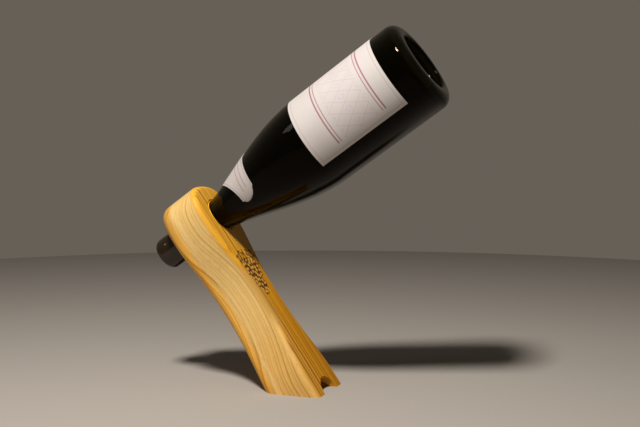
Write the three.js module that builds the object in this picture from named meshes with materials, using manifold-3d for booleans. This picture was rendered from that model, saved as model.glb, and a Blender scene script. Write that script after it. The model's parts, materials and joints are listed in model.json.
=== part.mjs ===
// Balancing wine bottle holder with its bottle, in millimetres, +Z up.
// One waisted timber plank is mitred at the foot, so that it leans back (-X) on its flat sole. The neck of
// a wine bottle goes through a bore in the head, square to the plank, with its base up and forward (+X).
// The weight of the bottle brings the balance point over the sole: without the bottle the plank falls over.
// The origin is on the table, under the middle of the whole object.
import * as THREE from 'three';
import { mergeVertices } from 'three/addons/utils/BufferGeometryUtils.js';
import Module from 'manifold-3d';

// Plank. Heights run along the plank, from the middle of the sole.
const plankLean = 55; // degrees between the plank and the table
const plankThickness = 43;
const frontRound = 5; // roundover along the front face
const backRound = 9; // roundover along the back face
const footWidth = 61;
const waistWidth = 37.5;
const headWidth = 62.5;
const waistHeight = 87;
const boreHeight = 171;
const headRise = 33; // from the bore's centre to the top of the head
const footEase = 28; // straight pull of each outline curve where it starts or ends
const waistEase = 41;
const headEase = 28.5;
const crownSide = 24; // the crown is squarer than a half circle
const crownTop = 22;
const boreEase = 1; // eased rim of the bore
const notchRadius = 14.5; // half-round notch in the front edge of the sole

// Bottle, measured along its axis from the mouth.
const neckRadius = 14.25;
const neckBore = 18.5;
const neckLength = 58;
const shoulderLength = 125.5;
const bodyLength = 115;
const bodyRadius = 41.4;
const neckEase = 29; // straight pull of the shoulder curve at the neck and at the body
const bodyEase = 48;
const glassWall = 3.8;
const baseWall = 6;
const heelRadius = 10;
const standingRing = 5; // width of the ring that the bottle stands on
const puntDepth = 26;
const puntWall = 2.6;
const lipRound = 1.5;
const collarHeight = 18; // glass collar at the mouth, with a shallow groove below it
const collarGroove = 0.7;
const grooveHeight = 10;

// Closure, filling and labels.
const corkLength = 44;
const corkSunk = 1;
const corkChamfer = 1.2;
const capsuleLength = 56;
const capsuleWall = 0.35;
const capsuleRim = 2.2; // width of the skirt's turned-in rim on the disc
const discWall = 0.5;
const ullageDepth = 16; // air above the wine, below the highest point inside
const frontLabelWidth = 145; // round the body
const frontLabelFromShoulder = 1; // clear of the shoulder above it and of the base below it
const frontLabelFromBase = 25;
const labelTurn = -30; // degrees from the top of the bottle, towards -Y
const paper = 0.3;
const neckLabelFrom = 89; // from the mouth to the point of the neck label's arch
const neckLabelArch = 14; // from there to the foot of the arch
const neckLabelFoot = 18.5; // from the foot of the arch to the label's straight edge
const neckLabelHalf = 34; // half its length round the shoulder, without the round ends
const neckLabelLobe = 5.5; // how far the round ends reach out

// Fits.
const seatGap = 0.3; // between pieces that touch
const boreClearance = 0.35; // round the capsule, in the plank's bore

// Facets.
const turnSteps = 48;
const curveSteps = 14;
const shoulderSteps = 12;
const arcSteps = 6;
const roundSteps = 5;
const easeSteps = 3;
const wrapSteps = 28;
const lobeSteps = 5;
const weldDistance = 1e-4;
const cutterReach = 400; // half the size of the blocks that cut level faces

const wasm = await Module();
wasm.setup();

// A closed geometry as a solid that can be cut.
function toSolid(geometry) {
  const bare = geometry.clone();
  bare.deleteAttribute('normal');
  bare.deleteAttribute('uv');
  const welded = mergeVertices(bare, weldDistance);
  const vertProperties = new Float32Array(welded.attributes.position.array);
  const triVerts = new Uint32Array(welded.index.array);
  return new wasm.Manifold(new wasm.Mesh({ numProp: 3, vertProperties, triVerts }));
}

function toGeometry(solid) {
  const cut = solid.getMesh();
  const geometry = new THREE.BufferGeometry();
  geometry.setAttribute('position', new THREE.BufferAttribute(new Float32Array(cut.vertProperties), 3));
  geometry.setIndex(new THREE.BufferAttribute(new Uint32Array(cut.triVerts), 1));
  geometry.computeVertexNormals();
  return geometry;
}

// A profile of (radius, distance along the axis), turned about the bottle's axis, which is Z here.
function turned(profile) {
  return new THREE.LatheGeometry(profile, turnSteps).rotateX(Math.PI / 2);
}

function point(radius, along) {
  return new THREE.Vector2(radius, along);
}

// A quarter arc, or quarter ellipse, between two angles in degrees.
function arc(centreX, centreY, radiusX, radiusY, fromDegrees, toDegrees, steps = arcSteps) {
  const from = THREE.MathUtils.degToRad(fromDegrees);
  const to = THREE.MathUtils.degToRad(toDegrees);
  const curve = new THREE.EllipseCurve(centreX, centreY, radiusX, radiusY, from, to, to < from);
  return curve.getPoints(steps);
}

function paint(color, roughness, metalness = 0) {
  return new THREE.MeshStandardMaterial({ color, roughness, metalness });
}

function piece(name, geometry, material, parent) {
  const mesh = new THREE.Mesh(geometry, material);
  mesh.name = name;
  parent.add(mesh);
  return mesh;
}

// The leaning frame: x across the plank, y up the plank from the middle of the sole, z out of its front.
const lean = THREE.MathUtils.degToRad(plankLean);
const across = new THREE.Vector3(0, 1, 0);
const upPlank = new THREE.Vector3(-Math.cos(lean), 0, Math.sin(lean));
const outOfFront = new THREE.Vector3(Math.sin(lean), 0, Math.cos(lean));
const leaning = new THREE.Matrix4().makeBasis(across, upPlank, outOfFront);
const upright = leaning.clone().invert();

// A block that fills the space above or below a level, given in the leaning frame.
function levelBlock(level, side) {
  const size = 2 * cutterReach;
  const block = new THREE.BoxGeometry(size, size, size);
  block.translate(0, 0, level + side * cutterReach);
  return toSolid(block.applyMatrix4(upright));
}

// Bottle sizes that several pieces share.
const bottleLength = neckLength + shoulderLength + bodyLength;
const shoulderEnd = neckLength + shoulderLength;
const capsuleInside = neckRadius + seatGap;
const capsuleRadius = capsuleInside + capsuleWall;
const boreRadius = capsuleRadius + boreClearance;
const innerNeck = neckBore / 2;
const innerBody = bodyRadius - glassWall;

// The shoulder's S-curve, from the neck out to the body, the same for the outside and the inside.
function shoulder(fromRadius, toRadius) {
  const curve = new THREE.CubicBezierCurve(
    point(fromRadius, neckLength),
    point(fromRadius, neckLength + neckEase),
    point(toRadius, shoulderEnd - bodyEase),
    point(toRadius, shoulderEnd),
  );
  return curve.getPoints(shoulderSteps);
}

// How far from the mouth a shoulder curve reaches a radius.
function reaches(radius, curve) {
  const next = curve.findIndex((p) => p.x > radius);
  const inner = curve[next - 1];
  const outer = curve[next];
  return THREE.MathUtils.mapLinear(radius, inner.x, outer.x, inner.y, outer.y);
}

// The bottle slides in until its taper meets the front rim of the bore.
const outerShoulder = shoulder(neckRadius, bodyRadius);
const seat = reaches(boreRadius - seatGap, outerShoulder);
const mouthDepth = seat - (plankThickness / 2 - boreEase);

// A board of the plank's thickness, rounded over along both faces.
function roundedBoard(outline, round) {
  const board = new THREE.ExtrudeGeometry(outline, {
    depth: plankThickness - 2 * round,
    bevelThickness: round,
    bevelSize: round,
    bevelOffset: -round,
    bevelSegments: roundSteps,
  });
  return toSolid(board.translate(0, 0, round - plankThickness / 2));
}

// Plank: a waisted outline with a squarish crown, rounded over less along the front than along the back,
// then cut to its sole, bored square through the head and notched in the front edge of the sole.
function plankGeometry() {
  const below = -(plankThickness / 2 / Math.tan(lean) + frontRound + backRound);
  const side = new THREE.Path();
  side.moveTo(footWidth / 2, below);
  side.lineTo(footWidth / 2, 0);
  side.bezierCurveTo(
    footWidth / 2, footEase,
    waistWidth / 2, waistHeight - waistEase,
    waistWidth / 2, waistHeight,
  );
  side.bezierCurveTo(
    waistWidth / 2, waistHeight + waistEase,
    headWidth / 2, boreHeight - headEase,
    headWidth / 2, boreHeight,
  );
  side.bezierCurveTo(
    headWidth / 2, boreHeight + crownSide,
    crownTop, boreHeight + headRise,
    0, boreHeight + headRise,
  );
  const right = side.getPoints(curveSteps);
  const left = right.slice(0, -1).reverse().map((p) => point(-p.x, p.y));
  const outline = new THREE.Shape([...right, ...left]);
  const frontHalf = roundedBoard(outline, frontRound).trimByPlane([0, 0, 1], 0);
  const backHalf = roundedBoard(outline, backRound).trimByPlane([0, 0, -1], 0);

  const face = plankThickness / 2;
  const beyond = 2 * boreEase;
  const boring = turned([
    point(0, -face - beyond),
    point(boreRadius + boreEase + beyond, -face - beyond),
    ...arc(boreRadius + boreEase, -face, boreEase, boreEase, 90, 180, easeSteps),
    ...arc(boreRadius + boreEase, face, boreEase, boreEase, 180, 270, easeSteps),
    point(boreRadius + boreEase + beyond, face + beyond),
    point(0, face + beyond),
  ]);
  boring.translate(0, boreHeight, 0);

  const frontEdge = -face / Math.tan(lean);
  const notch = new THREE.CylinderGeometry(notchRadius, notchRadius, 2 * cutterReach, turnSteps);
  notch.rotateX(Math.PI / 2);
  notch.translate(0, frontEdge, 0);

  const shaped = frontHalf
    .add(backHalf)
    .subtract(levelBlock(0, -1))
    .subtract(toSolid(boring))
    .subtract(toSolid(notch));
  return toGeometry(shaped);
}

// Glass: neck with a collar, long sloping shoulder, straight body, rounded heel and a punt in the base.
const puntRadius = bodyRadius - heelRadius - standingRing;
const innerPunt = puntRadius + puntWall;
const innerHeel = Math.max(heelRadius - glassWall, lipRound);
const innerFloor = bottleLength - baseWall;

function glassGeometry() {
  const groove = neckRadius - collarGroove;
  const inside = [
    ...arc(0, innerFloor, innerPunt, puntDepth, 270, 360),
    ...arc(innerBody - innerHeel, innerFloor - innerHeel, innerHeel, innerHeel, 90, 0),
    ...shoulder(innerNeck, innerBody).reverse(),
    point(innerNeck, lipRound),
  ];
  const lip = [
    point(innerNeck + lipRound, 0),
    ...arc(neckRadius - lipRound, lipRound, lipRound, lipRound, 270, 360, easeSteps),
  ];
  const collar = [
    point(neckRadius, collarHeight),
    point(groove, collarHeight + collarGroove),
    point(groove, collarHeight + grooveHeight - collarGroove),
    point(neckRadius, collarHeight + grooveHeight),
  ];
  const heel = arc(bodyRadius - heelRadius, bottleLength - heelRadius, heelRadius, heelRadius, 0, 90);
  const punt = arc(0, bottleLength, puntRadius, puntDepth, 360, 270);
  return turned([...inside, ...lip, ...collar, ...outerShoulder, ...heel, ...punt]);
}

// Cork: a plain chamfered cylinder, driven in just below the lip.
const corkEnd = corkSunk + corkLength;

function corkGeometry() {
  const radius = innerNeck - seatGap;
  return turned([
    point(0, corkSunk),
    point(radius - corkChamfer, corkSunk),
    point(radius, corkSunk + corkChamfer),
    point(radius, corkEnd - corkChamfer),
    point(radius - corkChamfer, corkEnd),
    point(0, corkEnd),
  ]);
}

// Wine: fills the glass up to the cork in the neck, with a level surface under the air at the base.
function wineGeometry() {
  const floor = innerFloor - seatGap;
  const radius = innerBody - seatGap;
  const body = turned([
    point(0, corkEnd + seatGap),
    point(innerNeck - seatGap, corkEnd + seatGap),
    ...shoulder(innerNeck - seatGap, radius),
    ...arc(radius - innerHeel, floor - innerHeel, innerHeel, innerHeel, 0, 90),
    ...arc(0, floor, innerPunt + seatGap, puntDepth, 360, 270),
  ]);
  body.translate(0, boreHeight, -mouthDepth);
  const highest = new THREE.Vector3(0, boreHeight + innerBody, innerFloor - innerHeel - mouthDepth);
  const surface = highest.applyMatrix4(leaning).z - ullageDepth;
  const wine = toGeometry(toSolid(body).subtract(levelBlock(surface, 1)));
  return wine.translate(0, -boreHeight, mouthDepth);
}

// Capsule: a thin skirt round the neck, turned in over the edge of a disc that lies on the lip.
const discTop = -seatGap - discWall;

function skirtGeometry() {
  const top = discTop - seatGap - capsuleWall;
  const corner = Math.min(capsuleRim, capsuleRadius / 2);
  const inner = corner - capsuleWall;
  return turned([
    ...arc(capsuleRadius - corner, top + corner, inner, inner, 270, 360, easeSteps),
    point(capsuleInside, capsuleLength),
    point(capsuleRadius, capsuleLength),
    ...arc(capsuleRadius - corner, top + corner, corner, corner, 360, 270, easeSteps),
    point(capsuleRadius - corner, top + capsuleWall),
  ].reverse());
}

function discGeometry() {
  const radius = capsuleRadius - capsuleRim;
  return turned([
    point(0, discTop),
    point(radius, discTop),
    point(radius, -seatGap),
    point(0, -seatGap),
  ]);
}

// The outside of the glass, which the labels follow.
function glassRadius(along) {
  const next = outerShoulder.findIndex((p) => p.y > along);
  if (next < 0) {
    return bodyRadius;
  }
  const after = outerShoulder[Math.max(next, 1)];
  const before = outerShoulder[Math.max(next, 1) - 1];
  return THREE.MathUtils.mapLinear(along, before.y, after.y, before.x, after.x);
}

// A paper label wrapped round the glass. It is given in columns side by side: how far each is round the
// glass from the label's middle, and where it starts and ends along the bottle.
function wrapped(columns, rows) {
  const steepest = Math.hypot(shoulderLength, 2 * (bodyRadius - neckRadius)) / shoulderLength;
  const inside = seatGap * steepest;
  const middle = THREE.MathUtils.degToRad(labelTurn);
  const corners = [];
  for (const lift of [inside, inside + paper]) {
    for (const column of columns) {
      for (let row = 0; row <= rows; row += 1) {
        const along = THREE.MathUtils.lerp(column.from, column.to, row / rows);
        const radius = glassRadius(along);
        const angle = middle + column.round / radius;
        corners.push((radius + lift) * Math.sin(angle), (radius + lift) * Math.cos(angle), along);
      }
    }
  }

  const last = columns.length - 1;
  const faces = [];
  const back = (column, row) => column * (rows + 1) + row;
  const front = (column, row) => back(column + columns.length, row);
  const quad = (a, b, c, d) => faces.push(a, b, c, a, c, d);
  for (let i = 0; i < last; i += 1) {
    for (let j = 0; j < rows; j += 1) {
      quad(back(i, j), back(i + 1, j), back(i + 1, j + 1), back(i, j + 1));
      quad(front(i, j), front(i, j + 1), front(i + 1, j + 1), front(i + 1, j));
    }
    quad(back(i, 0), front(i, 0), front(i + 1, 0), back(i + 1, 0));
    quad(back(i, rows), back(i + 1, rows), front(i + 1, rows), front(i, rows));
  }
  for (let j = 0; j < rows; j += 1) {
    quad(back(0, j), back(0, j + 1), front(0, j + 1), front(0, j));
    quad(back(last, j), front(last, j), front(last, j + 1), back(last, j + 1));
  }

  const geometry = new THREE.BufferGeometry();
  geometry.setAttribute('position', new THREE.Float32BufferAttribute(corners, 3));
  geometry.setIndex(faces);
  geometry.computeVertexNormals();
  return geometry;
}

// Front label: a plain rectangle on the straight body.
function frontLabelGeometry() {
  const from = shoulderEnd + frontLabelFromShoulder;
  const to = bottleLength - frontLabelFromBase;
  const columns = [];
  for (let i = 0; i <= wrapSteps; i += 1) {
    columns.push({ round: frontLabelWidth * (i / wrapSteps - 0.5), from, to });
  }
  return wrapped(columns, 1);
}

// Neck label: a band on the shoulder with an arch towards the mouth and round ends.
function neckLabelGeometry() {
  const archFoot = neckLabelFrom + neckLabelArch;
  const to = archFoot + neckLabelFoot;
  const half = neckLabelFoot / 2;
  const arch = [];
  for (let i = 0; i <= wrapSteps; i += 1) {
    const share = 2 * i / wrapSteps - 1;
    const rise = neckLabelArch * Math.sin(Math.abs(share) * Math.PI / 2);
    arch.push({ round: neckLabelHalf * share, from: neckLabelFrom + rise, to });
  }
  const lobe = arc(neckLabelHalf, archFoot + half, neckLabelLobe, half, 90, 0, lobeSteps).slice(1, -1);
  const right = lobe.map((p) => ({ round: p.x, from: 2 * (archFoot + half) - p.y, to: p.y }));
  const left = right.map((column) => ({ ...column, round: -column.round })).reverse();
  return wrapped([...left, ...arch, ...right], Math.ceil(wrapSteps / 4));
}

// Assembly: the plank and the bottle share the leaning frame, so the bottle lies square to the plank.
const holder = new THREE.Group();
const leaningFrame = new THREE.Group();
leaningFrame.quaternion.setFromRotationMatrix(leaning);
holder.add(leaningFrame);

const bottle = new THREE.Group();
bottle.position.set(0, boreHeight, -mouthDepth);
leaningFrame.add(bottle);

piece('holder_plank', plankGeometry(), paint(0xc9913f, 0.5), leaningFrame);
piece('bottle_glass', glassGeometry(), paint(0x0d0f08, 0.08), bottle);
piece('wine', wineGeometry(), paint(0x2a0309, 0.1), bottle);
piece('cork', corkGeometry(), paint(0xb98c5a, 0.85), bottle);
piece('capsule_skirt', skirtGeometry(), paint(0x0b0a0a, 0.3), bottle);
piece('capsule_disc', discGeometry(), paint(0x0b0a0a, 0.3), bottle);
piece('front_label', frontLabelGeometry(), paint(0xe1d4c8, 0.8), bottle);
piece('neck_label', neckLabelGeometry(), paint(0xe1d4c8, 0.8), bottle);

// The origin goes under the middle of the whole object.
const extent = new THREE.Box3().setFromObject(holder, true);
holder.position.x = -(extent.min.x + extent.max.x) / 2;

export default holder;
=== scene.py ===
# Balancing wine bottle holder with its bottle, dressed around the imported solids, in metres.
import json
import math

import bpy
from mathutils import Matrix, Vector
from mathutils.geometry import interpolate_bezier


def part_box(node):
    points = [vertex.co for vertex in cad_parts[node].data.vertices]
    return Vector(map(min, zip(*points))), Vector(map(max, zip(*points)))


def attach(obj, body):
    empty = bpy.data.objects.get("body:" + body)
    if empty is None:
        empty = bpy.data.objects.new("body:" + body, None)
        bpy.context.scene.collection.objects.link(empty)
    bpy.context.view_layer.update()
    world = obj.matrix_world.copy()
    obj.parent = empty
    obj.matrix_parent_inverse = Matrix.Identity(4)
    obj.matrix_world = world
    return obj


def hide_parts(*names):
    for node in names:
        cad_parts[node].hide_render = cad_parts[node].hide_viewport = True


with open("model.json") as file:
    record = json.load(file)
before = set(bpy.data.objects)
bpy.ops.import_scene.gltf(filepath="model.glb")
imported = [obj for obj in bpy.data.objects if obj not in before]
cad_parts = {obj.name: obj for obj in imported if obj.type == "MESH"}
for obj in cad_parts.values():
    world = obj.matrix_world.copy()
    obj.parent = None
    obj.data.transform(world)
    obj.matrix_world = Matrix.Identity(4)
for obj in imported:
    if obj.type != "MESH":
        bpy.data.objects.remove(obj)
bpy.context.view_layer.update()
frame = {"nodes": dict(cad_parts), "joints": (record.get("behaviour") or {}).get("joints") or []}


# Plank: one board of pine, sawn to a waisted outline, rounded over a little along the front and more along
# the back, mitred at the foot to its lean, bored square through the head and notched in the front edge of
# the sole. It is oiled, with a bunch of grapes burnt into its front, and stands by balance alone.
lean = math.radians(55)
plank_thickness = 0.043
front_round = 0.005
back_round = 0.009
foot_half = 0.0305
waist_half = 0.01875
head_half = 0.03125
waist_height = 0.087
bore_height = 0.171
top_height = 0.204
foot_ease = 0.028
waist_ease = 0.041
head_ease = 0.0285
crown_side = 0.024
crown_top = 0.022
bore_radius = 0.01525
bore_ease = 0.001
notch_radius = 0.0145
outline_steps = 26
rounding_steps = 9
bore_steps = 96
plank_crease = math.radians(32)
weld = 1e-6
level_slack = 1e-5
face = plank_thickness / 2
below_sole = face / math.tan(lean) + front_round + back_round

up_plank = Vector((-math.cos(lean), 0, math.sin(lean)))
out_of_front = Vector((math.sin(lean), 0, math.cos(lean)))
across = Vector((0, 1, 0))
sole_middle = Vector((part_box("holder_plank")[1].x - face / math.sin(lean), 0, 0))
leaning = Matrix((across, up_plank, out_of_front)).transposed().to_4x4()


def pick(piece):
    """Selects one piece alone and makes it the active one."""
    bpy.ops.object.select_all(action="DESELECT")
    piece.select_set(True)
    bpy.context.view_layer.objects.active = piece


def set_in_place(piece, place):
    """Turns a piece to the lean: its x goes across the plank, its y up the plank, its z out of the front."""
    pick(piece)
    piece.matrix_world = Matrix.Translation(place) @ leaning
    bpy.ops.object.transform_apply(location=True, rotation=True, scale=True)


def arc(radius_at, along_at, radius_reach, along_reach, start, end, steps):
    """Points of an arc or part of an ellipse, as (radius, distance along), between two angles in degrees."""
    points = []
    for step in range(steps + 1):
        angle = math.radians(start + (end - start) * step / steps)
        radius = radius_at + radius_reach * math.cos(angle)
        along = along_at + along_reach * math.sin(angle)
        points.append((radius, along))
    return points


def turned(name, profile, steps):
    """A profile of (radius, distance along) drawn out point by point, then spun about Z and closed."""
    bpy.ops.object.select_all(action="DESELECT")
    bpy.ops.mesh.primitive_plane_add(size=0.001)
    piece = bpy.context.object
    piece.name = name
    bpy.ops.object.mode_set(mode="EDIT")
    bpy.ops.mesh.merge(type="CENTER")
    bpy.ops.transform.translate(value=(profile[0][0], 0, profile[0][1]))
    for here, there in zip(profile, profile[1:]):
        step = (there[0] - here[0], 0, there[1] - here[1])
        bpy.ops.mesh.extrude_region_move(TRANSFORM_OT_translate={"value": step})
    bpy.ops.mesh.select_all(action="SELECT")
    bpy.ops.mesh.spin(steps=steps, angle=math.tau, center=(0, 0, 0), axis=(0, 0, 1))
    bpy.ops.mesh.select_all(action="SELECT")
    bpy.ops.mesh.remove_doubles(threshold=weld)
    bpy.ops.mesh.normals_make_consistent(inside=False)
    bpy.ops.object.mode_set(mode="OBJECT")
    return piece


def cut_away(piece, cutter):
    """Cuts one solid out of another and removes the cutter."""
    cut = piece.modifiers.new("cut", "BOOLEAN")
    cut.operation = "DIFFERENCE"
    cut.solver = "EXACT"
    cut.object = cutter
    pick(piece)
    bpy.ops.object.modifier_apply(modifier=cut.name)
    bpy.data.objects.remove(cutter)


def half_outline(side):
    """One side of the plank's outline from the foot to the head: place, handle before, handle after."""
    foot, waist, head = side * foot_half, side * waist_half, side * head_half
    return [
        ((foot, -below_sole), (foot, -below_sole), (foot, -below_sole)),
        ((foot, 0), (foot, 0), (foot, foot_ease)),
        ((waist, waist_height), (waist, waist_height - waist_ease), (waist, waist_height + waist_ease)),
        ((head, bore_height), (head, bore_height - head_ease), (head, bore_height + crown_side)),
    ]


bpy.ops.object.select_all(action="DESELECT")
bpy.ops.curve.primitive_bezier_curve_add(radius=0.01)
plank = bpy.context.object
plank.name = "oiled_plank"
crown = ((0, top_height), (crown_top, top_height), (-crown_top, top_height))
left_side = [(place, after, before) for place, before, after in reversed(half_outline(-1))]
outline = [*half_outline(1), crown, *left_side]
spline = plank.data.splines[0]
spline.bezier_points.add(len(outline) - len(spline.bezier_points))
for knot, (place, before, after) in zip(spline.bezier_points, outline):
    knot.handle_left_type = "FREE"
    knot.handle_right_type = "FREE"
    knot.co = (*place, 0)
    knot.handle_left = (*before, 0)
    knot.handle_right = (*after, 0)
spline.use_cyclic_u = True
spline.resolution_u = outline_steps
plank.data.dimensions = "2D"
plank.data.fill_mode = "NONE"
bpy.ops.object.convert(target="MESH")
bpy.ops.object.mode_set(mode="EDIT")
bpy.ops.mesh.select_all(action="SELECT")
bpy.ops.mesh.remove_doubles(threshold=weld)
bpy.ops.mesh.edge_face_add()
bpy.ops.transform.translate(value=(0, 0, -face))
bpy.ops.mesh.extrude_region_move(TRANSFORM_OT_translate={"value": (0, 0, plank_thickness)})
bpy.ops.mesh.select_all(action="SELECT")
bpy.ops.mesh.normals_make_consistent(inside=False)
for level, edge_round in ((face, front_round), (-face, back_round)):
    bpy.ops.mesh.select_all(action="DESELECT")
    bpy.ops.mesh.select_mode(type="EDGE")
    bpy.ops.object.mode_set(mode="OBJECT")
    corners = plank.data.vertices
    for edge in plank.data.edges:
        edge.select = all(abs(corners[end].co.z - level) < level_slack for end in edge.vertices)
    bpy.ops.object.mode_set(mode="EDIT")
    bpy.ops.mesh.bevel(offset=edge_round, segments=rounding_steps, profile=0.5, clamp_overlap=False)
bpy.ops.mesh.select_mode(type="VERT")
bpy.ops.mesh.select_all(action="SELECT")
bpy.ops.mesh.remove_doubles(threshold=weld)
bpy.ops.object.mode_set(mode="OBJECT")
set_in_place(plank, sole_middle)
bpy.ops.object.mode_set(mode="EDIT")
bpy.ops.mesh.select_all(action="SELECT")
bpy.ops.mesh.bisect(plane_co=(0, 0, 0), plane_no=(0, 0, 1), use_fill=True, clear_inner=True,
                    threshold=weld)
bpy.ops.object.mode_set(mode="OBJECT")

bore_beyond = 0.002
bore_flare = bore_radius + bore_ease
bore_cutter = turned("bore_cutter", [
    (0, -face - bore_beyond),
    (bore_flare + bore_beyond, -face - bore_beyond),
    *arc(bore_flare, -face, bore_ease, bore_ease, 90, 180, 5),
    *arc(bore_flare, face, bore_ease, bore_ease, 180, 270, 5),
    (bore_flare + bore_beyond, face + bore_beyond),
    (0, face + bore_beyond),
], bore_steps)
set_in_place(bore_cutter, sole_middle + up_plank * bore_height)
cut_away(plank, bore_cutter)

bpy.ops.object.select_all(action="DESELECT")
notch_cut_length = 6 * plank_thickness
bpy.ops.mesh.primitive_cylinder_add(vertices=bore_steps, radius=notch_radius, depth=notch_cut_length)
notch_cutter = bpy.context.object
set_in_place(notch_cutter, sole_middle - up_plank * (face / math.tan(lean)))
cut_away(plank, notch_cutter)

bpy.ops.object.shade_smooth_by_angle(angle=plank_crease)
even = plank.modifiers.new("even", "WEIGHTED_NORMAL")
even.keep_sharp = True
bpy.ops.object.modifier_apply(modifier=even.name)


def new_finish(name):
    """A new material, with its node tree and its shader."""
    finish = bpy.data.materials.new(name)
    finish.use_nodes = True
    return finish, finish.node_tree, finish.node_tree.nodes["Principled BSDF"]


def add_node(tree, kind, inputs=None, **settings):
    """A node with its settings. Inputs are values, or sockets of other nodes to link."""
    node = tree.nodes.new(kind)
    for key, value in settings.items():
        setattr(node, key, value)
    for key, value in (inputs or {}).items():
        if isinstance(value, bpy.types.NodeSocket):
            tree.links.new(value, node.inputs[key])
        else:
            node.inputs[key].default_value = value
    return node


def calc(tree, operation, first, second=0.0, third=0.0):
    """The result of a sum on numbers or sockets."""
    node = add_node(tree, "ShaderNodeMath", {0: first, 1: second, 2: third}, operation=operation)
    return node.outputs[0]


def stretch(tree, vector, scale):
    """A vector with each axis scaled."""
    node = add_node(tree, "ShaderNodeVectorMath", {0: vector, 1: scale}, operation="MULTIPLY")
    return node.outputs[0]


def noise(tree, vector, scale, detail=2.0, roughness=0.5):
    """A noise between 0 and 1."""
    inputs = {"Vector": vector, "Scale": scale, "Detail": detail, "Roughness": roughness}
    return add_node(tree, "ShaderNodeTexNoise", inputs).outputs["Fac"]


def spread(tree, value, low, high, new_low=0.0, new_high=1.0, smooth=True):
    """A number taken from one range to another, and held inside it."""
    inputs = {"Value": value, "From Min": low, "From Max": high, "To Min": new_low, "To Max": new_high}
    kind = "SMOOTHSTEP" if smooth else "LINEAR"
    return add_node(tree, "ShaderNodeMapRange", inputs, interpolation_type=kind).outputs["Result"]


def ramp(tree, value, stops):
    """A grey curve through (place, height) stops."""
    node = add_node(tree, "ShaderNodeValToRGB", {"Fac": value})
    elements = node.color_ramp.elements
    while len(elements) < len(stops):
        elements.new(0.5)
    for element, (place, height) in zip(elements, stops):
        element.position = place
        element.color = (height, height, height, 1)
    return node.outputs["Color"]


def blend(tree, share, first, second, kind="MIX"):
    """Two colours mixed by a share."""
    node = add_node(tree, "ShaderNodeMix", data_type="RGBA", blend_type=kind)
    for socket, value in ((0, share), (6, first), (7, second)):
        if isinstance(value, bpy.types.NodeSocket):
            tree.links.new(value, node.inputs[socket])
        else:
            node.inputs[socket].default_value = value if socket == 0 else (*value, 1)
    return node.outputs[2]


pine, tree, shader = new_finish("oiled_pine")
millimetres = 1000
object_place = add_node(tree, "ShaderNodeTexCoord").outputs["Object"]
in_plank = add_node(tree, "ShaderNodeMapping", {
    "Vector": object_place,
    "Location": (-sole_middle.dot(out_of_front) * millimetres, 0, -sole_middle.dot(up_plank) * millimetres),
    "Rotation": (0, math.pi / 2 - lean, 0),
    "Scale": (millimetres, millimetres, millimetres),
}).outputs["Vector"]
plank_axes = add_node(tree, "ShaderNodeSeparateXYZ", {"Vector": in_plank})
out, side, height = plank_axes.outputs["X"], plank_axes.outputs["Y"], plank_axes.outputs["Z"]

# The growth rings run along the board about a pith behind its far back edge. They are unevenly spaced, and
# each darkens towards its late wood. The lines are strongest at the foot and faint on the front rounding.
pith_out, pith_side, ring_width = -85.0, 55.0, 3.0
ring_sway, ring_wobble = 5.0, 1.0
uneven_rate, uneven_reach = 0.43, 1.5
ring_darkness = [(0.0, 0.6), (0.08, 0.0), (0.30, 0.04), (0.58, 0.28), (0.82, 1.0), (1.0, 0.8)]
foot_reach = (15.0, 95.0)
rounding_start = (15.8, 18.0)
rounding_end = (21.45, 20.2)
slow = noise(tree, stretch(tree, in_plank, (1, 1, 0.16)), 0.035, 1.0)
wobble = noise(tree, stretch(tree, in_plank, (1, 1, 0.06)), 0.16, 2.0)
cross_section = add_node(tree, "ShaderNodeCombineXYZ", {"X": out, "Y": side}).outputs["Vector"]
from_pith = add_node(tree, "ShaderNodeVectorMath", {0: cross_section, 1: (pith_out, pith_side, 0)},
                     operation="DISTANCE").outputs["Value"]
ring_place = calc(tree, "MULTIPLY_ADD", slow, ring_sway, from_pith)
ring_place = calc(tree, "MULTIPLY_ADD", wobble, ring_wobble, ring_place)
ring_count = calc(tree, "DIVIDE", ring_place, ring_width)
uneven_place = calc(tree, "MULTIPLY", ring_count, uneven_rate)
uneven = add_node(tree, "ShaderNodeTexNoise", {"W": uneven_place, "Scale": 1.0},
                  noise_dimensions="1D").outputs["Fac"]
ring_count = calc(tree, "MULTIPLY_ADD", uneven, uneven_reach, ring_count)
latewood = ramp(tree, calc(tree, "FRACT", ring_count), ring_darkness)
ring_strength = add_node(tree, "ShaderNodeTexWhiteNoise", {"W": calc(tree, "FLOOR", ring_count)},
                         noise_dimensions="1D").outputs["Value"]
latewood = calc(tree, "MULTIPLY", latewood, spread(tree, ring_strength, 0, 1, 0.2, 0.95, smooth=False))
latewood = calc(tree, "MULTIPLY", latewood, spread(tree, height, *foot_reach, 1.6, 1.0))
on_rounding = calc(tree, "MULTIPLY", spread(tree, out, *rounding_start), spread(tree, out, *rounding_end))
latewood = calc(tree, "MULTIPLY", latewood, spread(tree, on_rounding, 0, 1, 1.0, 0.25, smooth=False))

# Fibres, broader threads and short dark flecks, all drawn out along the board.
fibres = noise(tree, stretch(tree, in_plank, (1, 1, 0.018)), 2.6, 4.0, 0.6)
threads = noise(tree, stretch(tree, in_plank, (1, 1, 0.03)), 0.75, 3.0, 0.6)
flecks = noise(tree, stretch(tree, in_plank, (1, 1, 0.09)), 1.5, 1.0)
flecks = spread(tree, flecks, 0.68, 0.78, 0.0, 0.25)

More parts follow.
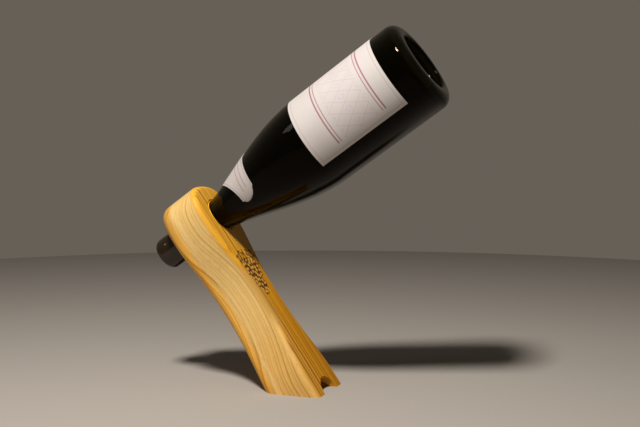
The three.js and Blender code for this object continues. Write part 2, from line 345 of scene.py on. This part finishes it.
# Pale sapwood takes up the middle of the near side, between the amber heartwood of the front and of the back
# edge, with a paler streak near the back. At mid height it reaches over the front rounding.
drift_reach = 9.0
sap_across = (-4.0, -19.0)
sap_from_back = (-14.5, -7.5)
sap_to_front = (19.0, 16.2)
streak_out = -6.5
streak_fade = (0.6, 2.6)
drift = calc(tree, "MULTIPLY", calc(tree, "SUBTRACT", wobble, 0.5), drift_reach)
sap = spread(tree, calc(tree, "ADD", side, drift), *sap_across)
from_back = calc(tree, "ADD", calc(tree, "ADD", out, drift), spread(tree, height, 10.0, 90.0, 1.2, 0.0))
from_back = calc(tree, "ADD", from_back, spread(tree, height, 120.0, 175.0, 0.0, -2.0))
sap = calc(tree, "MULTIPLY", sap, spread(tree, from_back, *sap_from_back))
to_front = calc(tree, "MULTIPLY_ADD", drift, 0.35, out)
over_rounding = spread(tree, height, 45.0, 70.0, -3.5, -4.4)
over_rounding = calc(tree, "MULTIPLY", over_rounding, spread(tree, height, 100.0, 138.0, 1.0, 0.0))
to_front = calc(tree, "ADD", to_front, over_rounding)
sap = calc(tree, "MULTIPLY", sap, spread(tree, to_front, *sap_to_front))
pale_streak = calc(tree, "ABSOLUTE", calc(tree, "SUBTRACT", from_back, streak_out))
pale_streak = calc(tree, "MULTIPLY", sap, spread(tree, pale_streak, *streak_fade, 0.45, 0.0))
sap = calc(tree, "MULTIPLY", sap, spread(tree, height, 0.0, 70.0, 0.78, 1.0))

# The colours of the early wood change slowly up the board, and the sapwood is painted tan on the front
# rounding as painted shade. The late wood has one colour for each kind.
front_amber_low = (0.66, 0.295, 0.011)
front_amber_high = (0.71, 0.36, 0.032)
front_amber_far = (0.50, 0.21, 0.005)
front_amber_crown_painted_highlight = (0.73, 0.38, 0.042)
back_amber_low = (0.74, 0.35, 0.045)
back_amber_high_and_painted_light = (0.92, 0.48, 0.075)
back_amber_crown = (0.54, 0.30, 0.07)
sapwood_low = (0.69, 0.43, 0.14)
sapwood_high = (0.81, 0.54, 0.195)
sapwood_crown = (0.73, 0.49, 0.18)
sapwood_painted_shade = (0.50, 0.285, 0.065)
sapwood_streak = (0.80, 0.55, 0.24)
late_front_amber = (0.25, 0.068, 0.001)
late_back_amber = (0.50, 0.22, 0.02)
late_sapwood = (0.51, 0.29, 0.068)
at_back = spread(tree, out, -4.0, -14.0)
amber = blend(tree, spread(tree, height, 90.0, 160.0), front_amber_low, front_amber_high)
amber = blend(tree, spread(tree, side, -4.0, 14.0, 0.0, 0.55), amber, front_amber_far)
# The front's amber is painted paler at the crown, as a painted highlight where the top faces the lamp above.
amber = blend(tree, spread(tree, height, 186.0, 200.0), amber, front_amber_crown_painted_highlight)
# The back edge's amber is partly its own heartwood colour and partly painted light: it is painted paler and
# brighter up the middle of the board, for light on the back rounding, and darker again at the crown.
back_amber_and_painted_light = blend(tree, spread(tree, height, 20.0, 80.0), back_amber_low, back_amber_high_and_painted_light)
back_amber_and_painted_light = blend(tree, spread(tree, height, 150.0, 190.0), back_amber_and_painted_light, back_amber_crown)
amber = blend(tree, at_back, amber, back_amber_and_painted_light)
pale_wood = blend(tree, spread(tree, height, 40.0, 95.0), sapwood_low, sapwood_high)
pale_wood = blend(tree, spread(tree, height, 140.0, 170.0), pale_wood, sapwood_crown)
# Painted shade: the sapwood darkens to tan on the front rounding from mid height up.
tan = calc(tree, "MULTIPLY", spread(tree, out, 15.0, 19.5), spread(tree, height, 45.0, 75.0))
pale_wood = blend(tree, tan, pale_wood, sapwood_painted_shade)
early = blend(tree, sap, amber, pale_wood)
late_amber = blend(tree, at_back, late_front_amber, late_back_amber)
late = blend(tree, sap, late_amber, late_sapwood)
wood = blend(tree, latewood, early, late)
wood = blend(tree, pale_streak, wood, sapwood_streak)
shade = calc(tree, "MULTIPLY_ADD", fibres, 0.36, 0.66)
shade = calc(tree, "MULTIPLY_ADD", threads, 0.34, shade)
shade = calc(tree, "SUBTRACT", shade, flecks)
shade_colour = add_node(tree, "ShaderNodeCombineColor", {0: shade, 1: shade, 2: shade}).outputs["Color"]
wood = blend(tree, 1.0, wood, shade_colour, "MULTIPLY")

# The burnt bunch: uneven round berries, worn a little paler than the wood, with the gaps between them burnt
# dark. Each berry is drawn or dropped as a whole. A stem and two lobed leaves stand above, all on the front.
bunch_side, bunch_top, bunch_length, bunch_half = -2.8, 124.0, 37.0, 15.5
bunch_outline = [(0.0, 0.6), (0.16, 1.0), (0.42, 0.86), (0.72, 0.5), (1.0, 0.16)]
berry_size = 4.3
stem_foot, stem_top = bunch_top - 2, bunch_top + 10
burn_depth = 2.5
worn_share = 0.4
worn_wood = (0.80, 0.45, 0.11)
burnt_wood = (0.062, 0.018, 0.003)
berry_place = add_node(tree, "ShaderNodeCombineXYZ", {
    "X": calc(tree, "DIVIDE", calc(tree, "SUBTRACT", side, bunch_side), berry_size),
    "Y": calc(tree, "DIVIDE", calc(tree, "SUBTRACT", bunch_top, height), berry_size),
}).outputs["Vector"]
berries = add_node(tree, "ShaderNodeTexVoronoi", {"Vector": berry_place, "Scale": 1.0, "Randomness": 0.62},
                   voronoi_dimensions="2D").outputs
berry_edge = spread(tree, berries["Distance"], 0.27, 0.45)
berry_middle = add_node(tree, "ShaderNodeSeparateXYZ", {"Vector": berries["Position"]}).outputs
down_bunch = calc(tree, "MULTIPLY", berry_middle["Y"], berry_size / bunch_length)
bunch_width = ramp(tree, down_bunch, bunch_outline)
bunch_reach = calc(tree, "ABSOLUTE", calc(tree, "MULTIPLY", berry_middle["X"], berry_size / bunch_half))
in_bunch = calc(tree, "LESS_THAN", bunch_reach, bunch_width)
in_bunch = calc(tree, "MULTIPLY", in_bunch, calc(tree, "GREATER_THAN", down_bunch, 0.0))
in_bunch = calc(tree, "MULTIPLY", in_bunch, calc(tree, "LESS_THAN", down_bunch, 1.0))
burn = calc(tree, "MULTIPLY", berry_edge, in_bunch)
for leaf_side, leaf_height, leaf_turn, leaf_long, leaf_wide in (
    (-11.0, 127.0, math.radians(-20), 7.4, 4.6),
    (8.5, 127.5, math.radians(24), 6.8, 4.3),
):
    in_leaf = add_node(tree, "ShaderNodeMapping", {
        "Vector": add_node(tree, "ShaderNodeCombineXYZ", {
            "X": calc(tree, "SUBTRACT", side, leaf_side),
            "Y": calc(tree, "SUBTRACT", height, leaf_height),
        }).outputs["Vector"],
        "Rotation": (0, 0, leaf_turn),
    }).outputs["Vector"]
    in_leaf = stretch(tree, in_leaf, (1 / leaf_long, 1 / leaf_wide, 0))
    leaf_axes = add_node(tree, "ShaderNodeSeparateXYZ", {"Vector": in_leaf}).outputs
    leaf_angle = calc(tree, "ARCTAN2", leaf_axes["Y"], leaf_axes["X"])
    lobes = calc(tree, "COSINE", calc(tree, "MULTIPLY", leaf_angle, 5.0))
    leaf_reach = add_node(tree, "ShaderNodeVectorMath", {0: in_leaf}, operation="LENGTH").outputs["Value"]
    leaf_reach = calc(tree, "DIVIDE", leaf_reach, calc(tree, "MULTIPLY_ADD", lobes, 0.22, 0.86))
    rim = calc(tree, "ABSOLUTE", calc(tree, "SUBTRACT", leaf_reach, 1.0))
    rim = spread(tree, rim, 0.10, 0.26, 1.0, 0.0)
    vein = calc(tree, "ABSOLUTE", calc(tree, "SINE", calc(tree, "MULTIPLY", leaf_angle, 2.5)))
    vein = spread(tree, calc(tree, "MULTIPLY", vein, leaf_reach), 0.06, 0.22, 0.85, 0.0)
    vein = calc(tree, "MULTIPLY", vein, calc(tree, "LESS_THAN", leaf_reach, 1.0))
    burn = calc(tree, "MAXIMUM", burn, calc(tree, "MAXIMUM", rim, vein))
stem = spread(tree, calc(tree, "ABSOLUTE", calc(tree, "SUBTRACT", side, bunch_side)), 0.4, 1.1, 1.0, 0.0)
stem = calc(tree, "MULTIPLY", stem, calc(tree, "GREATER_THAN", height, stem_foot))
stem = calc(tree, "MULTIPLY", stem, calc(tree, "LESS_THAN", height, stem_top))
burn = calc(tree, "MAXIMUM", burn, stem)
on_front = calc(tree, "GREATER_THAN", out, face * millimetres - burn_depth)
burn = calc(tree, "MULTIPLY", burn, on_front)
burn = calc(tree, "MULTIPLY", burn, spread(tree, threads, 0.25, 0.6, 0.65, 1.0))
worn = calc(tree, "MULTIPLY", calc(tree, "MULTIPLY", in_bunch, on_front), worn_share)
wood = blend(tree, worn, wood, worn_wood)
wood = blend(tree, burn, wood, burnt_wood)
tree.links.new(wood, shader.inputs["Base Color"])

sheen = calc(tree, "MULTIPLY_ADD", fibres, 0.26, 0.30)
tree.links.new(calc(tree, "MULTIPLY_ADD", burn, 0.25, sheen), shader.inputs["Roughness"])
relief = calc(tree, "MULTIPLY_ADD", latewood, 0.5, fibres)
relief = calc(tree, "SUBTRACT", relief, calc(tree, "MULTIPLY", burn, 2.2))
relief = add_node(tree, "ShaderNodeBump", {"Height": relief, "Strength": 0.35, "Distance": 0.00018})
tree.links.new(relief.outputs["Normal"], shader.inputs["Normal"])
shader.inputs["Specular IOR Level"].default_value = 0.16
plank.data.materials.append(pine)
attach(plank, "holder")
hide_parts("holder_plank")


# Bottle glass: blown dark olive glass with a thick wall, a collar at the mouth, a long sloping shoulder, a
# straight body, a rounded heel and a punt pressed up into the base. The neck hangs in the plank's bore.
turn_joint = next(joint for joint in frame["joints"] if joint["name"] == "bottle_turn")
mouth = Vector(turn_joint["pos_m"])
neck_radius = 0.01425
neck_inside = 0.00925
neck_length = 0.058
shoulder_end = 0.1835
bottle_length = 0.2985
body_radius = 0.0414
neck_ease = 0.029
body_ease = 0.048
glass_wall = 0.0038
base_wall = 0.006
heel_radius = 0.010
heel_sweep = 78
standing_ring = 0.005
ring_round = 0.0022
punt_depth = 0.026
punt_wall = 0.0026
lip_round = 0.0015
lip_slope = 0.0020
lip_slope_end = 0.005
collar_end = 0.018
groove_end = 0.028
groove_depth = 0.0007
shoulder_steps = 44
inner_shoulder_steps = 34
turn_steps = 112
glass_crease = math.radians(50)


def shoulder(from_radius, to_radius, steps):
    """The long curve from the neck out to the body, as (radius, distance from the mouth)."""
    knots = [
        Vector((from_radius, neck_length, 0)),
        Vector((from_radius, neck_length + neck_ease, 0)),
        Vector((to_radius, shoulder_end - body_ease, 0)),
        Vector((to_radius, shoulder_end, 0)),
    ]
    return [(point.x, point.y) for point in interpolate_bezier(*knots, steps)]


body_inside = body_radius - glass_wall
heel_inside = heel_radius - glass_wall
floor_inside = bottle_length - base_wall
punt_radius = body_radius - heel_radius - standing_ring
glass = turned("dark_glass_bottle", [
    *arc(0, floor_inside, punt_radius + punt_wall, punt_depth, 270, 360, 14),
    *arc(body_inside - heel_inside, floor_inside - heel_inside, heel_inside, heel_inside, 90, 0, 8),
    *reversed(shoulder(neck_inside, body_inside, inner_shoulder_steps)),
    *arc(neck_inside + lip_round, lip_round, lip_round, lip_round, 180, 270, 5),
    *arc(neck_radius - lip_slope, lip_slope_end, lip_slope, lip_slope_end, 270, 360, 9),
    (neck_radius, collar_end),
    *arc(neck_radius, collar_end + groove_depth, groove_depth, groove_depth, 270, 180, 3),
    *arc(neck_radius, groove_end - groove_depth, groove_depth, groove_depth, 180, 90, 3),
    *shoulder(neck_radius, body_radius, shoulder_steps),
    *arc(body_radius - heel_radius, bottle_length - heel_radius, heel_radius, heel_radius, 0, heel_sweep, 9),
    *arc(punt_radius + ring_round, bottle_length - ring_round, ring_round, ring_round, 90, 180, 5),
    *arc(0, bottle_length - ring_round, punt_radius, punt_depth - ring_round, 360, 270, 16),
], turn_steps)
set_in_place(glass, mouth)
bpy.ops.object.shade_smooth_by_angle(angle=glass_crease)

olive_glass, tree, shader = new_finish("dark_olive_glass")
object_place = add_node(tree, "ShaderNodeTexCoord").outputs["Object"]
clouds = noise(tree, object_place, 26.0, 2.0)
smears = noise(tree, object_place, 90.0, 4.0, 0.65)
tint = blend(tree, clouds, (0.016, 0.013, 0.004), (0.030, 0.026, 0.008))
tree.links.new(tint, shader.inputs["Base Color"])
tree.links.new(spread(tree, smears, 0.35, 0.8, 0.015, 0.10), shader.inputs["Roughness"])
ripple = add_node(tree, "ShaderNodeBump", {"Height": clouds, "Strength": 0.05, "Distance": 0.001})
tree.links.new(ripple.outputs["Normal"], shader.inputs["Normal"])
shader.inputs["Transmission Weight"].default_value = 0.96
shader.inputs["IOR"].default_value = 1.5
# The specular tint keeps the glass nearly black over a pale floor.
shader.inputs["Specular Tint"].default_value = (0.10, 0.075, 0.055, 1)
glass.data.materials.append(olive_glass)
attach(glass, "bottle")
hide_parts("bottle_glass")


# Wine: the red filling, which the balance needs. It fills the glass up to the cork and lies level under the
# air that gathers at the raised base.
red_wine, tree, shader = new_finish("red_wine")
object_place = add_node(tree, "ShaderNodeTexCoord").outputs["Object"]
depth_tint = noise(tree, object_place, 18.0, 1.0)
wine_colour = blend(tree, depth_tint, (0.060, 0.002, 0.005), (0.10, 0.004, 0.008))
tree.links.new(wine_colour, shader.inputs["Base Color"])
shader.inputs["Transmission Weight"].default_value = 0.9
shader.inputs["IOR"].default_value = 1.34
shader.inputs["Roughness"].default_value = 0.02
wine = frame["nodes"]["wine"]
wine.data.materials.clear()
wine.data.materials.append(red_wine)


# Cork: a plain natural cork, chamfered at both ends and driven into the neck just below the lip. Its sides
# show short dark pores.
natural_cork, tree, shader = new_finish("natural_cork")
object_place = add_node(tree, "ShaderNodeTexCoord").outputs["Object"]
crumbs = noise(tree, object_place, 900.0, 4.0, 0.6)
pores = add_node(tree, "ShaderNodeTexVoronoi", {"Vector": object_place, "Scale": 420.0}).outputs["Distance"]
pores = spread(tree, pores, 0.12, 0.28, 1.0, 0.0)
cork_colour = blend(tree, crumbs, (0.36, 0.19, 0.075), (0.56, 0.34, 0.16))
cork_colour = blend(tree, pores, cork_colour, (0.12, 0.05, 0.02))
tree.links.new(cork_colour, shader.inputs["Base Color"])
tree.links.new(spread(tree, crumbs, 0, 1, 0.75, 0.95), shader.inputs["Roughness"])
cork_relief = add_node(tree, "ShaderNodeBump", {"Height": calc(tree, "SUBTRACT", crumbs, pores),
                                                "Strength": 0.4, "Distance": 0.0003})
tree.links.new(cork_relief.outputs["Normal"], shader.inputs["Normal"])
cork = frame["nodes"]["cork"]
cork.data.materials.clear()
cork.data.materials.append(natural_cork)


# Capsule: a black sleeve shrunk over the neck, with a sloping rim that is turned in over the edge of a disc
# on the lip. Both are glossy film with faint shrink lines along the neck.
film_gap = 0.0003
film_wall = 0.00035
capsule_length = 0.056
capsule_inside = neck_radius + film_gap
capsule_radius = capsule_inside + film_wall
capsule_rim = 0.0032
capsule_slope = 0.0055
disc_wall = 0.0005
disc_top = -film_gap - disc_wall
skirt_top = disc_top - film_gap - film_wall
rim_inside = capsule_rim - film_wall
slope_inside = capsule_slope - film_wall
collar_rise = 0.00022
collar_from = 0.0090
collar_fade = 0.0042
fade_steps = 6
sleeve_rings = (0.020, 0.030, 0.040)
film_crease = math.radians(40)

# The collar fades out along half a cosine wave, in hundredths of its rise.
collar = []
for step in range(fade_steps + 1):
    share = step / fade_steps
    proud = collar_rise * round((1 + math.cos(math.pi * share)) / 2, 2)
    collar.append((capsule_radius + proud, collar_from + collar_fade * share))

mouth_radius = capsule_radius - capsule_rim
slope_foot = skirt_top + capsule_slope
skirt = turned("capsule_sleeve", [
    (mouth_radius, skirt_top),
    *arc(mouth_radius, slope_foot, capsule_rim + collar_rise, capsule_slope, 270, 360, 16)[1:],
    *collar,
    *((capsule_radius, along) for along in (*sleeve_rings, capsule_length)),
    (capsule_inside, capsule_length),
    (capsule_inside, slope_foot),
    *arc(mouth_radius, slope_foot, rim_inside, slope_inside, 360, 270, 16)[1:],
    (mouth_radius, skirt_top),
], turn_steps)
set_in_place(skirt, mouth)
bpy.ops.object.shade_smooth_by_angle(angle=film_crease)

disc_under_rim = 0.0006
disc_dome = 0.0002
disc_edge = 0.0002
disc_radius = mouth_radius + disc_under_rim
disc = turned("capsule_disc_film", [
    (0, disc_top - disc_dome),
    (disc_radius * 0.5, disc_top - disc_dome * 0.8),
    (disc_radius * 0.86, disc_top - disc_dome * 0.2),
    (disc_radius - disc_edge, disc_top),
    (disc_radius, disc_top + disc_edge),
    (disc_radius, -film_gap),
    (0, -film_gap),
], turn_steps)
set_in_place(disc, mouth)
bpy.ops.object.shade_smooth_by_angle(angle=film_crease)

black_film, tree, shader = new_finish("black_capsule_film")
object_place = add_node(tree, "ShaderNodeTexCoord").outputs["Object"]
along_neck = add_node(tree, "ShaderNodeMapping", {
    "Vector": object_place,
    "Rotation": (0, math.pi / 2 - lean, 0),
}).outputs["Vector"]
shrink_lines = noise(tree, stretch(tree, along_neck, (0.06, 1, 1)), 420.0, 2.0)
dust = noise(tree, object_place, 700.0, 3.0, 0.7)
film_colour = blend(tree, dust, (0.008, 0.0045, 0.0015), (0.022, 0.013, 0.005))
tree.links.new(film_colour, shader.inputs["Base Color"])
tree.links.new(spread(tree, dust, 0.3, 0.8, 0.07, 0.18), shader.inputs["Roughness"])
film_relief = add_node(tree, "ShaderNodeBump", {"Height": shrink_lines, "Strength": 0.05,
                                                "Distance": 0.0002})
tree.links.new(film_relief.outputs["Normal"], shader.inputs["Normal"])
for piece, node in ((skirt, "capsule_skirt"), (disc, "capsule_disc")):
    piece.data.materials.append(black_film)
    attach(piece, "bottle")
    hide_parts(node)


# Front label: a rectangle of warm white laid paper glued round the straight body. It is printed with a thin
# border and a plain lattice band between two pairs of rules.
label_turn = math.radians(-30)
label_gap = 0.00012
paper_thickness = 0.0003
front_width = 0.145
front_from = 0.1845
front_height = 0.089
paper_crease = math.radians(40)


def glass_radius(along):
    """The outside of the glass at a distance from the mouth."""
    curve = shoulder(neck_radius, body_radius, shoulder_steps)
    for before, after in zip(curve, curve[1:]):
        if before[1] <= along <= after[1]:
            share = (along - before[1]) / (after[1] - before[1])
            return before[0] + (after[0] - before[0]) * share
    return body_radius


def pasted(name, columns, rows, shape):
    """A sheet of paper laid out flat, given its outline, wrapped round the glass and made thick."""
    bpy.ops.object.select_all(action="DESELECT")
    bpy.ops.mesh.primitive_grid_add(x_subdivisions=columns, y_subdivisions=rows, size=1)
    sheet = bpy.context.object
    sheet.name = name
    places = [shape(vertex.co.x, vertex.co.y + 0.5) for vertex in sheet.data.vertices]
    sheet.data.uv_layers.active.name = "flat"
    sheet.data.uv_layers.new(name="shares")
    for loop in sheet.data.loops:
        corner = sheet.data.vertices[loop.vertex_index].co
        sheet.data.uv_layers["flat"].data[loop.index].uv = places[loop.vertex_index]
        sheet.data.uv_layers["shares"].data[loop.index].uv = (corner.x + 0.5, corner.y + 0.5)
    for vertex, (reach, along) in zip(sheet.data.vertices, places):
        radius = glass_radius(along)
        angle = label_turn + reach / radius
        outside = radius + label_gap
        vertex.co = (outside * math.sin(angle), outside * math.cos(angle), along)
    bpy.ops.object.mode_set(mode="EDIT")
    bpy.ops.mesh.select_all(action="SELECT")
    bpy.ops.mesh.flip_normals()
    bpy.ops.object.mode_set(mode="OBJECT")
    thick = sheet.modifiers.new("thick", "SOLIDIFY")
    thick.thickness = paper_thickness
    thick.offset = 1
    bpy.ops.object.modifier_apply(modifier=thick.name)
    set_in_place(sheet, mouth)
    bpy.ops.object.shade_smooth_by_angle(angle=paper_crease)
    return sheet


def front_shape(across_share, along_share):
    """A place in the front label from its share of the width and of the height."""
    return front_width * across_share, front_from + front_height * along_share


front_label = pasted("front_label_paper", 72, 8, front_shape)


def paper_finish(name, width, height, margin):
    """Laid paper with a thin grey border line at a margin in mm: (material, tree, shader, axes, colour)."""
    finish, tree, shader = new_finish(name)
    flat_place = add_node(tree, "ShaderNodeUVMap", uv_map="flat").outputs["UV"]
    pulp = noise(tree, flat_place, 1600.0, 4.0, 0.65)
    laid = noise(tree, stretch(tree, flat_place, (1, 14, 1)), 260.0, 2.0)
    mottle = noise(tree, flat_place, 42.0, 2.0)
    paper = blend(tree, mottle, (0.48, 0.44, 0.425), (0.54, 0.505, 0.495))
    paper = blend(tree, spread(tree, pulp, 0.3, 0.75, 0.0, 0.14), paper, (0.42, 0.35, 0.32))
    shares = add_node(tree, "ShaderNodeUVMap", uv_map="shares").outputs["UV"]
    shares = add_node(tree, "ShaderNodeSeparateXYZ", {"Vector": shares})
    to_edges = []
    for share, size in ((shares.outputs["X"], width), (shares.outputs["Y"], height)):
        nearest = calc(tree, "MINIMUM", share, calc(tree, "SUBTRACT", 1.0, share))
        to_edges.append(calc(tree, "MULTIPLY", nearest, size * millimetres))
    border = calc(tree, "ABSOLUTE", calc(tree, "SUBTRACT", calc(tree, "MINIMUM", *to_edges), margin))
    paper = blend(tree, spread(tree, border, 0.15, 0.4, 0.55, 0.0), paper, (0.26, 0.22, 0.22))
    tree.links.new(spread(tree, pulp, 0, 1, 0.55, 0.8), shader.inputs["Roughness"])
    relief = add_node(tree, "ShaderNodeBump", {"Height": calc(tree, "ADD", pulp, laid), "Strength": 0.2,
                                               "Distance": 0.0001})
    tree.links.new(relief.outputs["Normal"], shader.inputs["Normal"])
    axes = add_node(tree, "ShaderNodeSeparateXYZ", {"Vector": flat_place})
    reach = calc(tree, "MULTIPLY", axes.outputs["X"], millimetres)
    return finish, tree, shader, (reach, axes.outputs["Y"], to_edges[0]), paper


front_border = 3.0
front_rules = ((24.0, 0.55), (27.0, 0.25), (70.0, 0.25), (73.0, 0.55))
rule_blur = 0.25
print_margin = 8.0
lattice_from = 31.5
lattice_rows = 4
lozenge_half_width = 5.75
lozenge_half_height = 8.51
boss_reach = 3.1
rule_colour = (0.22, 0.035, 0.075)
lattice_colour = (0.42, 0.33, 0.46)
label_paper, tree, shader, (reach, along, to_side), paper = paper_finish(
    "printed_label_paper", front_width, front_height, front_border)
along = calc(tree, "MULTIPLY", calc(tree, "SUBTRACT", along, front_from), millimetres)
rules = 0.0
for rule_along, rule_half in front_rules:
    rule = calc(tree, "ABSOLUTE", calc(tree, "SUBTRACT", along, rule_along))
    rules = calc(tree, "MAXIMUM", rules, spread(tree, rule, rule_half, rule_half + rule_blur, 0.75, 0.0))
inside_margin = calc(tree, "GREATER_THAN", to_side, print_margin)
rules = calc(tree, "MULTIPLY", rules, inside_margin)
paper = blend(tree, rules, paper, rule_colour)
lattice_end = lattice_from + lattice_rows * lozenge_half_height
across_lozenge = calc(tree, "PINGPONG", reach, lozenge_half_width)
across_lozenge = calc(tree, "MULTIPLY", across_lozenge, lozenge_half_height / lozenge_half_width)
along_lozenge = calc(tree, "PINGPONG", calc(tree, "SUBTRACT", along, lattice_from), lozenge_half_height)
lozenge_reach = calc(tree, "ADD", across_lozenge, along_lozenge)
in_line = calc(tree, "ABSOLUTE", calc(tree, "SUBTRACT", lozenge_reach, lozenge_half_height))
lattice = spread(tree, in_line, 0.35, 0.9, 0.55, 0.0)
boss = calc(tree, "ABSOLUTE", calc(tree, "SUBTRACT", lozenge_reach, boss_reach))
lattice = calc(tree, "MAXIMUM", lattice, spread(tree, boss, 0.4, 1.1, 0.4, 0.0))
lattice = calc(tree, "MULTIPLY", lattice, calc(tree, "GREATER_THAN", along, lattice_from))
lattice = calc(tree, "MULTIPLY", lattice, calc(tree, "LESS_THAN", along, lattice_end))
lattice = calc(tree, "MULTIPLY", lattice, inside_margin)
paper = blend(tree, lattice, paper, lattice_colour)
tree.links.new(paper, shader.inputs["Base Color"])
front_label.data.materials.append(label_paper)
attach(front_label, "bottle")
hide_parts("front_label")


# Neck label: a band of the same paper glued on the shoulder, with an arch towards the mouth and a round lobe
# between two small points at each end. It is printed with a thin border and two rules.
arch_top = 0.089
arch_rise = 0.014
arch_foot = 0.0185
neck_half = 0.034
neck_lobe = 0.0055
neck_cusp = 0.0016
lobe_share = 0.12
lobe_sweep = math.radians(84)
neck_middle = arch_top + arch_rise + arch_foot / 2


def neck_shape(across_share, along_share):
    """A place in the neck label's outline from its share of the length and of the width there."""
    side_share = abs(across_share) * 2
    if side_share <= 1 - lobe_share:
        share = side_share / (1 - lobe_share)
        reach = neck_half * share
        near = arch_top + arch_rise * math.sin(share * math.pi / 2)
        far = arch_top + arch_rise + arch_foot
    else:
        angle = (side_share - 1 + lobe_share) / lobe_share * lobe_sweep
        reach = neck_half + neck_lobe * math.sin(angle)
        near = neck_middle - (arch_foot / 2 - neck_cusp) * math.cos(angle)
        far = neck_middle + (arch_foot / 2 - neck_cusp) * math.cos(angle)
    return math.copysign(reach, across_share), near + (far - near) * along_share


neck_label = pasted("neck_label_paper", 100, 12, neck_shape)

neck_border = 1.3
neck_print_margin = 9.0
neck_rule_offset = 2.4
neck_rule_colour = (0.22, 0.06, 0.10)
neck_paper, tree, shader, (reach, along, to_side), paper = paper_finish(
    "printed_neck_paper", 2 * (neck_half + neck_lobe), arch_foot, neck_border)
from_middle = calc(tree, "MULTIPLY", calc(tree, "SUBTRACT", along, neck_middle), millimetres)
rule = calc(tree, "SUBTRACT", calc(tree, "ABSOLUTE", from_middle), neck_rule_offset)
rule = spread(tree, calc(tree, "ABSOLUTE", rule), 0.2, 0.55, 0.6, 0.0)
rule = calc(tree, "MULTIPLY", rule, calc(tree, "GREATER_THAN", to_side, neck_print_margin))
paper = blend(tree, rule, paper, neck_rule_colour)
tree.links.new(paper, shader.inputs["Base Color"])
neck_label.data.materials.append(neck_paper)
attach(neck_label, "bottle")
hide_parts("neck_label")


# Studio: a plain pale floor that grows darker away from the lamp and ends in the grey of the backdrop, a
# main lamp in front and above, a far, faint one on the left for the glints, and the camera at the
# photograph's angle.
floor_radius = 1.2
bpy.ops.object.select_all(action="DESELECT")
bpy.ops.mesh.primitive_circle_add(vertices=128, radius=floor_radius, fill_type="NGON")
floor = bpy.context.object
floor.name = "studio_floor"
pale, tree, shader = new_finish("pale_floor")
shader.inputs["Base Color"].default_value = (0.38, 0.35, 0.32, 1)
shader.inputs["Roughness"].default_value = 1.0
shader.inputs["Specular IOR Level"].default_value = 0.0
floor.data.materials.append(pale)

# The camera, gloss and glass see the whole strength of the backdrop. Only a share of it lights the object.
fill_share = 0.5
world = bpy.data.worlds.new("studio")
bpy.context.scene.world = world
world.use_nodes = True
backdrop = world.node_tree.nodes["Background"]
backdrop.inputs["Color"].default_value = (0.135, 0.117, 0.096, 1)
rays = add_node(world.node_tree, "ShaderNodeLightPath").outputs
shown = calc(world.node_tree, "MAXIMUM", rays["Is Camera Ray"], rays["Is Glossy Ray"])
shown = calc(world.node_tree, "MAXIMUM", shown, rays["Is Transmission Ray"])
backdrop_strength = calc(world.node_tree, "MULTIPLY_ADD", shown, 1 - fill_share, fill_share)
world.node_tree.links.new(backdrop_strength, backdrop.inputs["Strength"])
lit_middle = Vector((0, 0, 0.15))


def softbox(name, place, size, power, colour):
    """A square lamp at a place, turned to the middle of the object."""
    away = Vector(place) - lit_middle
    bpy.ops.object.light_add(type="AREA", location=place)
    lamp = bpy.context.object
    lamp.name = name
    lamp.data.shape = "SQUARE"
    lamp.data.size = size
    lamp.data.energy = power
    lamp.data.color = colour
    lamp.rotation_mode = "QUATERNION"
    lamp.rotation_quaternion = away.to_track_quat("Z", "Y")


softbox("main_lamp", (0.0, -0.55, 1.0), 0.15, 15.4, (1.0, 0.95, 0.88))
softbox("side_lamp", (-2.42, -1.71, 1.76), 0.55, 3.5, (0.9, 0.95, 1.0))

camera_turn = math.radians(20.8)
camera_rise = math.radians(3.7)
camera_target = sole_middle + Vector((0.0159, 0, 0.1556))
camera_distance = 0.872
camera_back = Vector((
    math.sin(camera_turn) * math.cos(camera_rise),
    -math.cos(camera_turn) * math.cos(camera_rise),
    math.sin(camera_rise),
))
bpy.ops.object.camera_add(location=camera_target + camera_back * camera_distance)
camera = bpy.context.object
camera.rotation_mode = "QUATERNION"
camera.rotation_quaternion = camera_back.to_track_quat("Z", "Y")
camera.data.sensor_width = 36
camera.data.lens = 56.25
camera.data.clip_start = 0.01
bpy.context.scene.camera = camera
bpy.context.scene.view_settings.view_transform = "Standard"
